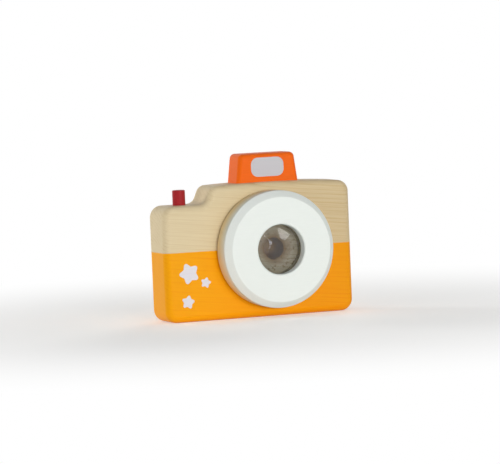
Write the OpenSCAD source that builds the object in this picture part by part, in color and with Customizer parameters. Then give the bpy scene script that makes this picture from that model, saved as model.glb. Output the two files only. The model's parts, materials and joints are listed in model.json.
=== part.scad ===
// Wooden toy camera: a rounded block with a turning kaleidoscope lens,
// a sprung shutter button and a flash block let into the deck.
// Millimetres. The front faces -Y, +X is the viewer's right and +Z is up.
// The origin lies on the base, under the middle of the whole toy.

/* [Body block] */
// Width of the body from end to end
body_w = 126; // [116:1:150]
// Thickness of the body from front to back
body_t = 28; // [26:1:40]
// Height of the deck at the crest of its crown
deck_h = 84.4; // [82:0.1:96]
// Radius of the deck's gentle crown
deck_r = 700; // [350:10:900]
// Height of the low shelf that carries the button
shelf_h = 72.5; // [66:0.5:74]
// Length of the shelf from the left end to the foot of the riser
shelf_l = 28.5; // [25:0.5:32]
// Lean of the riser between shelf and deck, in degrees off upright
riser_lean = 21.5; // [10:0.5:30]
// Radius of the hollow at the foot of the riser
foot_r = 5.5; // [3:0.5:7]
// Radius of the shoulder where the riser meets the deck
shoulder_r = 5; // [4.8:0.1:7]
// Radius of the corners at the two ends and under the shelf
corner_r = 7.5; // [6:0.5:12]
// Radius of the corner at the right end of the deck
deck_corner_r = 7; // [6:0.5:12]
// Radius of the round-over along the front and back edges
edge_r = 4.5; // [2.5:0.1:4.7]

/* [Lens ring] */
// Distance of the lens axis from the right end of the body
lens_from_right = 55.5; // [46:0.1:60]
// Height of the lens axis
lens_h = 42.9; // [39:0.1:44]
// Outer diameter of the ring
ring_d = 73.2; // [66:0.1:76]
// Thickness of the ring from back to front
ring_t = 17.6; // [15:0.1:24]
// Width of the bevel round the front face
bevel_w = 3.9; // [1:0.1:5]
// Depth of the bevel along the axis
bevel_l = 4.5; // [1:0.1:6]
// Diameter of the hole in the front face
hole_d = 31; // [26:0.5:33]
// Small break round the hole's front edge
ring_break = 0.6; // [0.2:0.1:1]
// Radius of the round-over on the ring's back edge
ring_back_r = 1.8; // [0.4:0.1:3]

/* [Faceted lens] */
// Depth of the lens seat behind the front face
lens_depth = 7.2; // [5:0.1:9]
// Width of the ledge that the rim of the lens bears on
lens_ledge = 4.5; // [3:0.1:5]
// Thickness of the rim of the lens
lens_rim_t = 3; // [2:0.1:4]
// Number of facets round the middle one
facet_count = 8; // [6:1:12]
// Width of the middle facet across its flats
facet_mid_w = 12.4; // [8:0.1:16]
// Rise of the middle facet over the rim
facet_rise = 2.6; // [2.5:0.1:4]
// Slope of the outer facets in degrees
facet_tilt = 14; // [6:0.5:15]

/* [Turning seat] */
// Wall of the axle round the light well behind the lens
tube_wall = 5; // [4:0.1:6]
// Depth of the light well
well_l = 4; // [2:0.5:8]
// Diameter of the sight bore through the rest of the axle
sight_bore_d = 12; // [8:0.5:16]
// Thickness of the washers
washer_t = 0.7; // [0.4:0.1:1.2]
// Width of the washer behind the ring
front_washer_w = 8; // [4:0.5:10]
// Width of the washer in front of the retaining ring
rear_washer_w = 3.5; // [2:0.1:4.5]
// How far the retaining ring reaches past the axle
retainer_lip = 5; // [4.6:0.1:7]
// Thickness of the retaining ring
retainer_t = 4; // [3:0.1:5]
// Room round the retaining ring in its recess
retainer_room = 1; // [0.5:0.1:2]
// Running clearance of what turns
turn_gap = 0.2; // [0.1:0.05:0.3]
// Clearance left for glue
glue_gap = 0.05; // [0.02:0.01:0.1]

/* [Retainer screws] */
// Number of screws
screw_count = 3; // [3:1:6]
// Diameter of the shank
screw_d = 2.4; // [1.6:0.1:2.8]
// Diameter of the countersunk head
screw_head_d = 4.6; // [3.4:0.1:5]
// Length with the head
screw_l = 11; // [8:0.5:16]

/* [Eyepiece] */
// Thickness of the rear disc
eyepiece_t = 3; // [2:0.1:4]
// Width of the ledge that the disc sits on
eyepiece_ledge = 2; // [1:0.1:3]
// Diameter of the sight hole
sight_d = 18; // [12:0.5:24]
// Width of the dished edge round the sight hole
dish_w = 3; // [1:0.1:5]
// Depth of the dished edge
dish_l = 1.2; // [0.4:0.1:1.6]
// Room between the disc and the retaining ring
eyepiece_room = 0.6; // [0.3:0.1:1]

/* [Shutter button] */
// Distance of the button from the left end of the body
button_from_left = 15.9; // [14:0.1:19]
// Diameter of the button
button_d = 8; // [6:0.1:10]
// Height of the button over the shelf
button_rise = 9.4; // [6:0.1:14]
// Radius of the button's top edge
button_top_r = 0.8; // [0.2:0.1:2]
// How far the hidden flange reaches past the stem
button_lip = 1.8; // [1:0.1:3]
// Thickness of the flange
flange_t = 2; // [1.2:0.1:4]
// Travel of the button
button_travel = 4; // [2:0.1:5]
// Length of the bush that guides the stem
collar_t = 5; // [3:0.1:8]
// Sliding clearance of the button
slide_gap = 0.2; // [0.1:0.05:0.3]
// Length of the spring when the button is up
spring_l = 12.8; // [11:0.1:18]
// Diameter of the spring wire
wire_d = 0.8; // [0.5:0.1:0.9]
// Number of turns
spring_turns = 6; // [4:1:8]
// Room round the spring in its bore
spring_room = 0.5; // [0.3:0.1:1]

/* [Flash block] */
// Distance of the block's middle to the right of the lens axis
flash_from_lens = 2.1; // [-6:0.1:10]
// Width of the block at the deck
flash_foot_w = 41.5; // [38:0.5:48]
// Width of the block at its top
flash_top_w = 37; // [30:0.1:38]
// Height of the block over the deck's crest
flash_h = 17.8; // [12:0.1:24]
// Thickness of the block
flash_t = 19; // [14:0.5:20]
// Radius of the block's top corners
flash_corner_r = 3.2; // [3.1:0.1:6]
// Radius of the round-over on the block's faces
flash_edge_r = 3; // [1:0.1:3.1]
// Width of the tenon
tenon_w = 24; // [16:0.5:28]
// Thickness of the tenon
tenon_t = 10; // [6:0.5:12]
// Depth of the tenon
tenon_l = 8; // [5:0.1:10]

/* [Hidden] */
$fn = 96;
edge_steps = 6;
corner_steps = 8;
blend_steps = 6;
deck_steps = 12;
coil_steps = 8;
wire_sides = 6;
// How far cutters run past what they cut, and joined solids into each other
over = 1;

// Places along the lens axis, counted forward from the body's front face
ring_back = turn_gap + washer_t;
ring_front = ring_back + ring_t;
lens_seat = ring_front - lens_depth;
lens_back = lens_seat - lens_rim_t;
eyepiece_front = eyepiece_t - body_t;
retainer_back = eyepiece_front + eyepiece_room;
retainer_front = retainer_back + retainer_t;
recess_floor = retainer_front + washer_t + turn_gap;

// Diameters on the lens axis, each from the one that it fits
pocket_d = hole_d + 2 * lens_ledge;
tube_d = pocket_d - 2 * glue_gap;
tube_hole_d = tube_d - 2 * tube_wall;
body_bore_d = tube_d + 2 * turn_gap;
washer_hole_d = tube_d + 2 * glue_gap;
retainer_d = tube_d + 2 * retainer_lip;
recess_d = retainer_d + 2 * retainer_room;
eyepiece_seat_d = recess_d + 2 * eyepiece_ledge;
screw_circle_d = tube_d - tube_wall;

// Places in the shared frame
total_depth = ring_front + body_t;
front_y = ring_front - total_depth / 2;
mid_y = front_y + body_t / 2;
lens_x = body_w / 2 - lens_from_right;
button_x = button_from_left - body_w / 2;
flash_x = lens_x + flash_from_lens;

// Heights under the button, counted from the base
collar_z = shelf_h - collar_t;
flange_z = collar_z - slide_gap - flange_t;
spring_z = flange_z - spring_l;
flange_d = button_d + 2 * button_lip;
button_bore_d = flange_d + 2 * slide_gap;
coil_r = button_bore_d / 2 - spring_room - wire_d / 2;
coil_rise = spring_l - 2 * glue_gap - wire_d;

// Outline points on an arc, each as [x, z, angle of the outward normal].
// side is 1 on an outside curve and -1 on a hollow one.
function arc_points(centre, r, from, to, steps, side = 1) = [
    for (i = [0 : steps])
        let (a = from + (to - from) * i / steps)
        [centre.x + side * r * cos(a), centre.y + side * r * sin(a), a]
];

// An outline drawn in along its normals, set at depth y
function slab_ring(outline, inset, y) = [
    for (p = outline) [p.x - inset * cos(p.z), y, p.y - inset * sin(p.z)]
];

// Slab of thickness t with that outline, its front and back edges rounded by r
module rounded_slab(outline, t, r) {
    turns = [for (i = [0 : edge_steps]) 90 * i / edge_steps];
    rings = concat(
        [for (a = turns) slab_ring(outline, r * (1 - sin(a)), r * (1 - cos(a)))],
        [for (a = turns) slab_ring(outline, r * (1 - cos(a)), t - r * (1 - sin(a)))]
    );
    n = len(outline);
    last = len(rings) - 1;
    front = [for (i = [n - 1 : -1 : 0]) i];
    back = [for (i = [0 : n - 1]) last * n + i];
    sides = [
        for (j = [0 : last - 1], i = [0 : n - 1])
            let (k = (i + 1) % n)
            [j * n + i, j * n + k, (j + 1) * n + k, (j + 1) * n + i]
    ];
    polyhedron([for (ring = rings) each ring], concat([front, back], sides));
}

// The crowned deck and the arcs that run off it at both ends
deck_centre = [lens_x, deck_h - deck_r];
deck_corner_x = body_w / 2 - deck_corner_r;
deck_corner = [
    deck_corner_x,
    deck_centre.y + sqrt(pow(deck_r - deck_corner_r, 2) - pow(deck_corner_x - deck_centre.x, 2))
];
riser_foot = [shelf_l - body_w / 2, shelf_h];
riser_way = [sin(riser_lean), cos(riser_lean)];
riser_normal = [-cos(riser_lean), sin(riser_lean)];
riser_angle = 180 - riser_lean;
shoulder_start = riser_foot - shoulder_r * riser_normal - deck_centre;
shoulder_climb = shoulder_start * riser_way;
shoulder_reach = sqrt(
    pow(shoulder_climb, 2) - shoulder_start * shoulder_start + pow(deck_r - shoulder_r, 2)
);
shoulder_centre = deck_centre + shoulder_start + (shoulder_reach - shoulder_climb) * riser_way;
foot_centre = [
    riser_foot.x - foot_r * (1 - sin(riser_lean)) / cos(riser_lean),
    shelf_h + foot_r
];
deck_right_angle = atan2(deck_corner.y - deck_centre.y, deck_corner.x - deck_centre.x);
deck_left_angle = atan2(shoulder_centre.y - deck_centre.y, shoulder_centre.x - deck_centre.x);
deck_points = arc_points(deck_centre, deck_r, deck_right_angle, deck_left_angle, deck_steps);

// Outline of the body seen from the front, from the lower right corner round to the left
function inner_points(points) = [for (i = [1 : len(points) - 2]) points[i]];
body_outline = concat(
    arc_points([body_w / 2 - corner_r, corner_r], corner_r, -90, 0, corner_steps),
    arc_points(deck_corner, deck_corner_r, 0, deck_right_angle, corner_steps),
    inner_points(deck_points),
    arc_points(shoulder_centre, shoulder_r, deck_left_angle, riser_angle, blend_steps),
    arc_points(foot_centre, foot_r, riser_angle, 90, blend_steps, -1),
    arc_points([corner_r - body_w / 2, shelf_h - corner_r], corner_r, 90, 180, corner_steps),
    arc_points([corner_r - body_w / 2, corner_r], corner_r, 180, 270, corner_steps)
);

// Outline of the flash block, run on below the deck so that the deck can trim its foot
flash_lean = atan((flash_foot_w - flash_top_w) / 2 / flash_h);
flash_sink = deck_h - min([for (p = deck_points) p.y]) + over;
flash_low_x = flash_foot_w / 2 + flash_sink * tan(flash_lean);
flash_top = deck_h + flash_h;
flash_corner_x = flash_top_w / 2 - flash_corner_r * (1 - sin(flash_lean)) / cos(flash_lean);
flash_corner_z = flash_top - flash_corner_r;
flash_outline = concat(
    [[flash_x + flash_low_x, deck_h - flash_sink, flash_lean]],
    arc_points([flash_x + flash_corner_x, flash_corner_z], flash_corner_r,
        flash_lean, 90, corner_steps),
    arc_points([flash_x - flash_corner_x, flash_corner_z], flash_corner_r,
        90, 180 - flash_lean, corner_steps),
    [[flash_x - flash_low_x, deck_h - flash_sink, 180 - flash_lean]]
);

// Children drawn with +Z along the lens axis, out of the body's front face
module on_lens_axis() {
    translate([lens_x, front_y, lens_h]) rotate([90, 0, 0]) children();
}

// Children drawn with +Z up the button's axis
module on_button_axis() {
    translate([button_x, mid_y, 0]) children();
}

// Round bar or bore along Z from low to high
module bar(d, low, high) {
    translate([0, 0, low]) cylinder(d = d, h = high - low);
}

// Flat ring along Z from low to high
module flat_ring(outer_d, inner_d, low, high) {
    difference() {
        bar(outer_d, low, high);
        bar(inner_d, low - over, high + over);
    }
}

// Tenon of the flash block, or its mortise with the glue gap all round
module flash_tenon(gap = 0) {
    width = tenon_w + 2 * gap;
    depth = tenon_t + 2 * gap;
    translate([flash_x - width / 2, mid_y - depth / 2, deck_h - tenon_l - gap])
        cube([width, depth, tenon_l + gap + over]);
}

// One countersunk screw, grown by gap for the hole that it sits in
module screw(gap = 0) {
    head_r = screw_head_d / 2 + gap;
    shank_r = screw_d / 2 + gap;
    rotate_extrude() polygon([
        [0, retainer_back], [head_r, retainer_back],
        [shank_r, retainer_back + head_r - shank_r],
        [shank_r, retainer_back + screw_l - shank_r],
        [0, retainer_back + screw_l + gap]
    ]);
}

// Children repeated at each screw
module at_screws() {
    for (i = [0 : screw_count - 1])
        rotate([0, 0, 360 * i / screw_count + 90]) translate([screw_circle_d / 2, 0, 0]) children();
}

module body_block() {
    color("#f0b45a") difference() {
        translate([0, front_y, 0]) rounded_slab(body_outline, body_t, edge_r);
        on_lens_axis() {
            bar(body_bore_d, -body_t - over, over);
            bar(recess_d, -body_t - over, recess_floor);
            bar(eyepiece_seat_d, -body_t - over, eyepiece_front);
        }
        on_button_axis() bar(button_bore_d, spring_z, shelf_h + over);
        flash_tenon(glue_gap);
    }
}

module flash_block() {
    color("#f56e1c") {
        difference() {
            translate([0, mid_y - flash_t / 2, 0]) rounded_slab(flash_outline, flash_t, flash_edge_r);
            // the deck trims the foot of the block to its own crown
            translate([0, mid_y + flash_t, 0]) rotate([90, 0, 0]) linear_extrude(2 * flash_t) polygon(
                concat([for (p = deck_points) [p.x, p.y]], [[-body_w / 2, 0], [body_w / 2, 0]])
            );
        }
        flash_tenon();
    }
}

module button_collar() {
    color("#d9c9a6") on_button_axis()
        flat_ring(button_bore_d - 2 * glue_gap, button_d + 2 * slide_gap, collar_z, shelf_h);
}

// Centre line of the spring at step i
function coil_point(i) = let (a = 360 * i / coil_steps) [
    coil_r * cos(a),
    coil_r * sin(a),
    spring_z + glue_gap + wire_d / 2 + coil_rise * i / (coil_steps * spring_turns)
];
coil_pitch_angle = atan(coil_rise / spring_turns / (2 * PI * coil_r));
coil_line = [for (i = [0 : coil_steps * spring_turns]) coil_point(i)];
spring_least_gap = min([
    for (i = [0 : len(coil_line) - 1], j = [i + coil_steps / 2 : 1 : len(coil_line) - 1])
        norm(coil_line[i] - coil_line[j]) - wire_d
]);
echo(spring_least_gap = spring_least_gap);

module button_spring() {
    wire_ring = [for (s = [0 : wire_sides - 1]) 360 * s / wire_sides];
    points = [
        for (i = [0 : len(coil_line) - 1], b = wire_ring)
            let (
                a = 360 * i / coil_steps,
                out = [cos(a), sin(a), 0],
                up = [sin(a) * sin(coil_pitch_angle), -cos(a) * sin(coil_pitch_angle), cos(coil_pitch_angle)]
            )
            coil_line[i] + wire_d / 2 * (cos(b) * out + sin(b) * up)
    ];
    n = wire_sides;
    last = len(coil_line) - 1;
    sides = [
        for (i = [0 : last - 1], s = [0 : n - 1])
            let (p = i * n + s, q = i * n + (s + 1) % n)
            each [[p, q, q + n], [p, q + n, p + n]]
    ];
    start = [for (s = [n - 1 : -1 : 0]) s];
    finish = [for (s = [0 : n - 1]) last * n + s];
    color("#b9bcc0") on_button_axis() polyhedron(points, concat([start, finish], sides));
}

module eyepiece_disc() {
    outer_r = eyepiece_seat_d / 2 - glue_gap;
    sight_r = sight_d / 2;
    color("#d9c9a6") on_lens_axis() rotate_extrude() polygon([
        [sight_r, eyepiece_front], [outer_r, eyepiece_front], [outer_r, -body_t],
        [sight_r + dish_w, -body_t], [sight_r, -body_t + dish_l]
    ]);
}

module lens_ring() {
    outer_r = ring_d / 2;
    hole_r = hole_d / 2;
    back_edge = arc_points([outer_r - ring_back_r, ring_back + ring_back_r], ring_back_r, 0, -90, blend_steps);
    color("#eef5ef") on_lens_axis() rotate_extrude() polygon([
        [hole_r + ring_break, ring_front],
        [outer_r - bevel_w, ring_front],
        [outer_r, ring_front - bevel_l],
        each [for (p = back_edge) [p.x, p.y]],
        [pocket_d / 2, ring_back],
        [pocket_d / 2, lens_seat],
        [hole_r, lens_seat],
        [hole_r, ring_front - ring_break]
    ]);
}

module prism_lens() {
    dome_d = hole_d - 2 * turn_gap;
    facet_reach = 2 * dome_d;
    color("#c8ccd2", 0.6) on_lens_axis() {
        bar(tube_d, lens_back, lens_seat);
        difference() {
            bar(dome_d, lens_seat - over, lens_seat + facet_rise);
            for (i = [0 : facet_count - 1])
                rotate([0, 0, 360 * (i + 0.5) / facet_count])
                    translate([facet_mid_w / 2, -facet_reach / 2, lens_seat + facet_rise])
                        rotate([0, facet_tilt, 0]) cube(facet_reach);
        }
    }
}

module lens_tube() {
    color("#c9b58c") on_lens_axis() difference() {
        flat_ring(tube_d, sight_bore_d, retainer_front, lens_back);
        bar(tube_hole_d, lens_back - well_l, lens_back + over);
        at_screws() screw(glue_gap);
    }
}

module retaining_ring() {
    color("#c9b58c") on_lens_axis() difference() {
        flat_ring(retainer_d, tube_hole_d, retainer_back, retainer_front);
        at_screws() screw(glue_gap);
    }
}

module retainer_screws() {
    color("#b9bcc0") on_lens_axis() at_screws() screw();
}

module front_washer() {
    color("#4a4440") on_lens_axis()
        flat_ring(washer_hole_d + 2 * front_washer_w, washer_hole_d, turn_gap, ring_back);
}

module rear_washer() {
    color("#4a4440") on_lens_axis()
        flat_ring(washer_hole_d + 2 * rear_washer_w, washer_hole_d,
            retainer_front, retainer_front + washer_t);
}

module shutter_button() {
    stem_r = button_d / 2;
    top = shelf_h + button_rise;
    top_edge = arc_points([stem_r - button_top_r, top - button_top_r], button_top_r, 0, 90, blend_steps);
    color("#b8282c") on_button_axis() rotate_extrude() polygon(concat(
        [[0, flange_z], [flange_d / 2, flange_z], [flange_d / 2, flange_z + flange_t],
         [stem_r, flange_z + flange_t]],
        [for (p = top_edge) [p.x, p.y]],
        [[0, top]]
    ));
}

body_block();
flash_block();
button_collar();
button_spring();
eyepiece_disc();
lens_ring();
prism_lens();
lens_tube();
retaining_ring();
retainer_screws();
front_washer();
rear_washer();
shutter_button();
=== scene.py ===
"""Models and finishes a wooden toy camera around its CAD frame, and sets the stage that shows it."""

import json
import math

import bmesh
import bpy
from mathutils import Matrix, Vector


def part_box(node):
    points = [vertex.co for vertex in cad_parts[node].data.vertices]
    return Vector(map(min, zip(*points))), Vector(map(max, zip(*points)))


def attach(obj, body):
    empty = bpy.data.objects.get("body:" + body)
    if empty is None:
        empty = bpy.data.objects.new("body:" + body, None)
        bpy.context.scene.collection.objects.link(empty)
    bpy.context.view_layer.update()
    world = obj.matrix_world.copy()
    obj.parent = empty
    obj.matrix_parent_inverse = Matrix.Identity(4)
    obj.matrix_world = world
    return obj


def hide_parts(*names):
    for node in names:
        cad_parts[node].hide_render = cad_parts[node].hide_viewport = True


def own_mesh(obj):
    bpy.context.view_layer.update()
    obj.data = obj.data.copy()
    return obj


bl_info = {
    "name": "Wooden Toy Camera",
    "version": (1, 0, 0),
    "blender": (4, 5, 0),
    "location": "3D View > Sidebar > Toy Camera",
    "description": "Models and finishes a wooden toy camera around its CAD frame",
    "category": "Object",
}

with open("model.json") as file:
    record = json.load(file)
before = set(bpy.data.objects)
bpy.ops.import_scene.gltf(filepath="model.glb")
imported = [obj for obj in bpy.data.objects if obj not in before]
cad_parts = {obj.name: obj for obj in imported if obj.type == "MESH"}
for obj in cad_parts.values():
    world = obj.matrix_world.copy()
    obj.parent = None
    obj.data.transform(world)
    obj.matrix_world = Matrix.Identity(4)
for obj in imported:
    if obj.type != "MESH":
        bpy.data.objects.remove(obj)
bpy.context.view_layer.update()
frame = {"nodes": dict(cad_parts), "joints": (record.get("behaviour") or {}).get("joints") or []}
JOINTS = {joint["name"]: joint for joint in frame["joints"]}

# Boxes of the CAD pieces that set the sizes and places of the modelled ones
BODY_LOW, BODY_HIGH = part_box("body_block")
FLASH_LOW, FLASH_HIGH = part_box("flash_block")
RING_LOW, RING_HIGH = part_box("lens_ring")
LENS_LOW, LENS_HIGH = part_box("prism_lens")
TUBE_LOW, TUBE_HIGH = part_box("lens_tube")
RETAINER_LOW, RETAINER_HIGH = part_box("retaining_ring")
EYEPIECE_LOW, EYEPIECE_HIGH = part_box("eyepiece_disc")
BUTTON_LOW, BUTTON_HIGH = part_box("shutter_button")
COLLAR_LOW, COLLAR_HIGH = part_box("button_collar")
SPRING_LOW, SPRING_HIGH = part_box("button_spring")

MM = 0.001
SMALL = 1e-6
QUARTER_TURN = math.pi / 2
WHITE = (1, 1, 1, 1)

LENS_AXIS = Vector(JOINTS["lens_turn"]["pos_m"])
BODY_MIDDLE_Y = (BODY_LOW.y + BODY_HIGH.y) / 2
FLASH_X = (FLASH_LOW.x + FLASH_HIGH.x) / 2
BUTTON_X = (BUTTON_LOW.x + BUTTON_HIGH.x) / 2

# These carry +Z to the lens axis, out of the body's front face, and to the button's axis
ON_LENS_AXIS = Matrix.Translation(LENS_AXIS) @ Matrix.Rotation(QUARTER_TURN, 4, "X")
ON_BUTTON_AXIS = Matrix.Translation((BUTTON_X, BODY_MIDDLE_Y, 0))

# Room round a piece that moves in another, and round one that is glued in
RUNNING_FIT = 0.2 * MM
GLUE_GAP = 0.05 * MM

# Screen print is duller than sprayed paint and hides the grain better; its films have a softened edge
SCREEN_PRINT = {"roughness": 0.5, "fleck": 0.015}
FILM_ROUND = 0.3

# The photograph's frame and the camera that took it
PHOTO_WIDTH_PX = 500
PHOTO_HEIGHT_PX = 464
SENSOR_MM = 36.0


def linear(hex_colour):
    """Linear RGBA of an sRGB hex colour."""
    channels = [int(hex_colour[i:i + 2], 16) / 255 for i in (1, 3, 5)]
    return tuple(c / 12.92 if c <= 0.04045 else ((c + 0.055) / 1.055) ** 2.4 for c in channels) + (1.0,)


def length(label, about, millimetres):
    """A length property, given in millimetres."""
    return bpy.props.FloatProperty(name=label, description=about, default=millimetres * MM, unit="LENGTH")


def tilt(label, about, degrees):
    """An angle property, given in degrees."""
    return bpy.props.FloatProperty(
        name=label, description=about, default=math.radians(degrees), subtype="ANGLE"
    )


def colour(label, about, hex_colour):
    """A colour property, given as an sRGB hex value."""
    return bpy.props.FloatVectorProperty(
        name=label, description=about, default=linear(hex_colour), size=4, min=0, max=1, subtype="COLOR"
    )


class ToyCameraSizes(bpy.types.PropertyGroup):
    """Sizes that the boxes of the CAD pieces don't give."""

    deck_crown: length("Deck crown", "Radius of the deck's gentle crown", 700)
    shelf_height: length("Shelf height", "Height of the shelf that carries the button", 72.5)
    shelf_length: length("Shelf length", "From the left end to the foot of the riser", 28.5)
    riser_lean: tilt("Riser lean", "Lean of the riser off upright", 21.5)
    corner_round: length("Corners", "Radius of the body's corners", 7.5)
    deck_corner_round: length("Deck corner", "Radius of the deck's right corner", 7)
    shoulder_round: length("Shoulder", "Radius between riser and deck", 5)
    foot_round: length("Riser foot", "Hollow radius between shelf and riser", 5.5)
    edge_round: length("Edges", "Round-over of the front and back edges", 4.5)
    paint_line: length("Paint line", "Height where the stain ends", 43.6)
    flash_foot_width: length("Flash foot", "Width of the flash block at the deck's crest", 41.5)
    flash_top_width: length("Flash top", "Width of the flash block at its top", 37)
    flash_corner_round: length("Flash corners", "Radius of the flash block's top corners", 3.2)
    flash_edge_round: length("Flash edges", "Round-over of the flash block's faces", 3)
    flash_window_width: length("Window width", "Width of the pale window on the flash", 21.9)
    flash_window_height: length("Window height", "Height of the pale window", 12)
    flash_window_round: length("Window corners", "Corner radius of the pale window", 4.5)
    flash_window_z: length("Window place", "Height of the window's middle", 93.6)
    flash_window_left: length("Window shift", "How far the window lies left of the block's middle", 0.3)
    bevel_width: length("Ring bevel", "Width of the bevel round the ring's face", 3.9)
    bevel_depth: length("Ring bevel depth", "Depth of that bevel along the axis", 4.5)
    ring_back_round: length("Ring back", "Round-over of the ring's back edge", 1.8)
    ring_hole: length("Ring hole", "Diameter of the hole in the ring", 31)
    hole_round: length("Hole edge", "Round-over of the hole's front edge", 1.3)
    lens_depth: length("Lens depth", "Depth of the lens seat behind the ring's face", 7.2)
    lens_middle: length("Middle facet", "Width of the lens's middle facet across flats", 12.4)
    facet_tilt: tilt("Facet tilt", "Slope of the outer facets", 14)
    facet_count: bpy.props.IntProperty(name="Facets", description="Facets round the middle one", default=8)
    well_wall: length("Well wall", "Wall of the axle round the light well behind the lens", 5)
    well_depth: length("Well depth", "Depth of the light well", 4)
    sight_bore: length("Sight bore", "Diameter of the bore through the axle", 12)
    sight_hole: length("Sight hole", "Diameter of the hole to look through", 18)
    dish_width: length("Dish width", "Width of the dished edge round the sight hole", 3)
    dish_depth: length("Dish depth", "Depth of the dished edge", 1.2)
    button_width: length("Button", "Diameter of the button's stem", 8)
    flange_thickness: length("Flange", "Thickness of the button's hidden flange", 2)
    wire_width: length("Spring wire", "Diameter of the spring's wire", 0.8)
    film: length("Paint film", "Thickness of the printed films", 0.08)


class ToyCameraColours(bpy.types.PropertyGroup):
    """Colours of the finishes."""

    wood_pale: colour("Pale wood", "Early wood between the grain lines", "#DFCEA9")
    wood_tan: colour("Tan grain", "Late wood in the grain lines", "#C6AB7B")
    # raw wood is dull, and these colours are set darker and greyer than the body's: painted shade for the
    # axle seen deep behind the lens
    raw_shaded_pale: colour("Raw wood", "Early wood where it is not sealed", "#C7BEA0")
    raw_shaded_tan: colour("Raw grain", "Late wood where it is not sealed", "#806F4A")
    # these two colours are painted shade in and round the bore, where little light reaches
    bore_shade_pale: colour("Bore shade wood", "Early wood in the painted shade round the bore", "#8E6E3E")
    bore_shade_dark: colour("Bore shade grain", "Late wood in the painted shade round the bore", "#5A4020")
    stain_light: colour("Light stain", "Orange stain over early wood", "#F7A706")
    stain_deep: colour("Deep stain", "Orange stain over the grain lines", "#EF8E04")
    flash_orange: colour("Flash paint", "Orange paint of the flash block", "#F4690E")
    ring_white: colour("Ring paint", "White paint of the ring", "#EEF3EE")
    # cream over the ring's side towards the back: the paint thinning over the wood, and painted warm bounce
    # light from the stained body beside it
    ring_cream_and_bounce: colour("Thin ring paint", "White paint where it thins out over the wood", "#EBD5A4")
    # red paint, set darker than the paint itself: painted shade over the button
    button_red_shaded: colour("Button paint", "Red paint of the button", "#A5262B")
    window_grey: colour("Window print", "Pale print on the flash block", "#CAC8CC")
    star_white: colour("Star print", "White print of the stars", "#E2E0E8")


class ToyCameraSettings(bpy.types.PropertyGroup):
    """All that a user would change."""

    sizes: bpy.props.PointerProperty(type=ToyCameraSizes)
    colours: bpy.props.PointerProperty(type=ToyCameraColours)


def chosen(context):
    """The sizes and colours that are set in the scene."""
    settings = context.scene.toy_camera
    return settings.sizes, settings.colours


def select_only(piece):
    """Select one piece and make it the active one."""
    bpy.ops.object.select_all(action="DESELECT")
    piece.select_set(True)
    bpy.context.view_layer.objects.active = piece


def start_piece(name, add, **settings):
    """Add a primitive with nothing else selected, with its place in its mesh."""
    bpy.ops.object.select_all(action="DESELECT")
    add(**settings)
    piece = bpy.context.active_object
    piece.name = name
    piece.data.name = name
    bpy.ops.object.transform_apply(location=True, rotation=True, scale=True)
    return piece


def settle(piece, place):
    """Carry a piece to its place and put that place into its mesh."""
    select_only(piece)
    piece.matrix_world = place
    bpy.ops.object.transform_apply(location=True, rotation=True, scale=True)


def edit(piece):
    """Open a piece in edit mode with all of it selected."""
    select_only(piece)
    bpy.ops.object.mode_set(mode="EDIT")
    bpy.ops.mesh.select_all(action="SELECT")


def pick(piece, kind, test):
    """In edit mode, select only the vertices, edges or faces that pass a test."""
    bpy.ops.mesh.select_mode(type=kind)
    bpy.ops.mesh.select_all(action="DESELECT")
    shape = bmesh.from_edit_mesh(piece.data)
    parts = {"VERT": shape.verts, "EDGE": shape.edges, "FACE": shape.faces}[kind]
    for part in parts:
        part.select_set(test(part))
    shape.select_flush_mode()
    bmesh.update_edit_mesh(piece.data)


def close_edit():
    """Point all faces outwards and leave edit mode."""
    bpy.ops.mesh.select_all(action="SELECT")
    bpy.ops.mesh.normals_make_consistent(inside=False)
    bpy.ops.object.mode_set(mode="OBJECT")


def apply_modifier(piece, kind, **settings):
    """Add a modifier, set it and apply it."""
    select_only(piece)
    modifier = piece.modifiers.new(kind.title(), kind)
    for name, value in settings.items():
        setattr(modifier, name, value)
    bpy.ops.object.modifier_apply(modifier=modifier.name)


def cut_away(piece, cutter, keep_cutter=False):
    """Cut one piece with another."""
    apply_modifier(piece, "BOOLEAN", operation="DIFFERENCE", object=cutter, solver="EXACT")
    if not keep_cutter:
        bpy.data.objects.remove(cutter)


def soften(piece, width=0.0, segments=3, angle=30):
    """Break the sharp edges by a small round and smooth the shading between them."""
    if width:
        apply_modifier(
            piece, "BEVEL", width=width, segments=segments, limit_method="ANGLE",
            angle_limit=math.radians(angle), use_clamp_overlap=True, harden_normals=False,
        )
    select_only(piece)
    bpy.ops.object.shade_smooth_by_angle(angle=math.radians(angle))
    apply_modifier(piece, "WEIGHTED_NORMAL", keep_sharp=True, weight=100)


def turned(name, profile, axis, solid=False, steps=128):
    """Turn a profile of (radius, height) points as on a lathe.

    axis is a matrix that carries +Z to the axis. A solid piece is closed by flat ends, and any other
    by a last wall back to the profile's first point.
    """
    (radius, height), *others = profile
    piece = start_piece(
        name, bpy.ops.mesh.primitive_circle_add, vertices=steps, radius=radius, location=(0, 0, height)
    )
    edit(piece)
    for next_radius, next_height in others:
        bpy.ops.mesh.extrude_edges_move(TRANSFORM_OT_translate={"value": (0, 0, next_height - height)})
        scale = next_radius / radius
        bpy.ops.transform.resize(value=(scale, scale, 1), center_override=(0, 0, next_height))
        radius, height = next_radius, next_height
    pick(piece, "EDGE", lambda edge: edge.is_boundary)
    if solid:
        bpy.ops.mesh.fill_holes(sides=0)
    else:
        bpy.ops.mesh.bridge_edge_loops()
    close_edit()
    settle(piece, axis)
    return piece


def on_faces(edge, low, high):
    """True for an edge that lies in the front or the back face of a box."""
    return any(all(abs(v.co.y - y) < SMALL for v in edge.verts) for y in (low.y, high.y))


def direction(azimuth, elevation):
    """The way out from the object: azimuth 0 is straight in front, and it grows towards +X."""
    level = math.cos(elevation)
    return Vector((math.sin(azimuth) * level, -math.cos(azimuth) * level, math.sin(elevation)))


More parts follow.
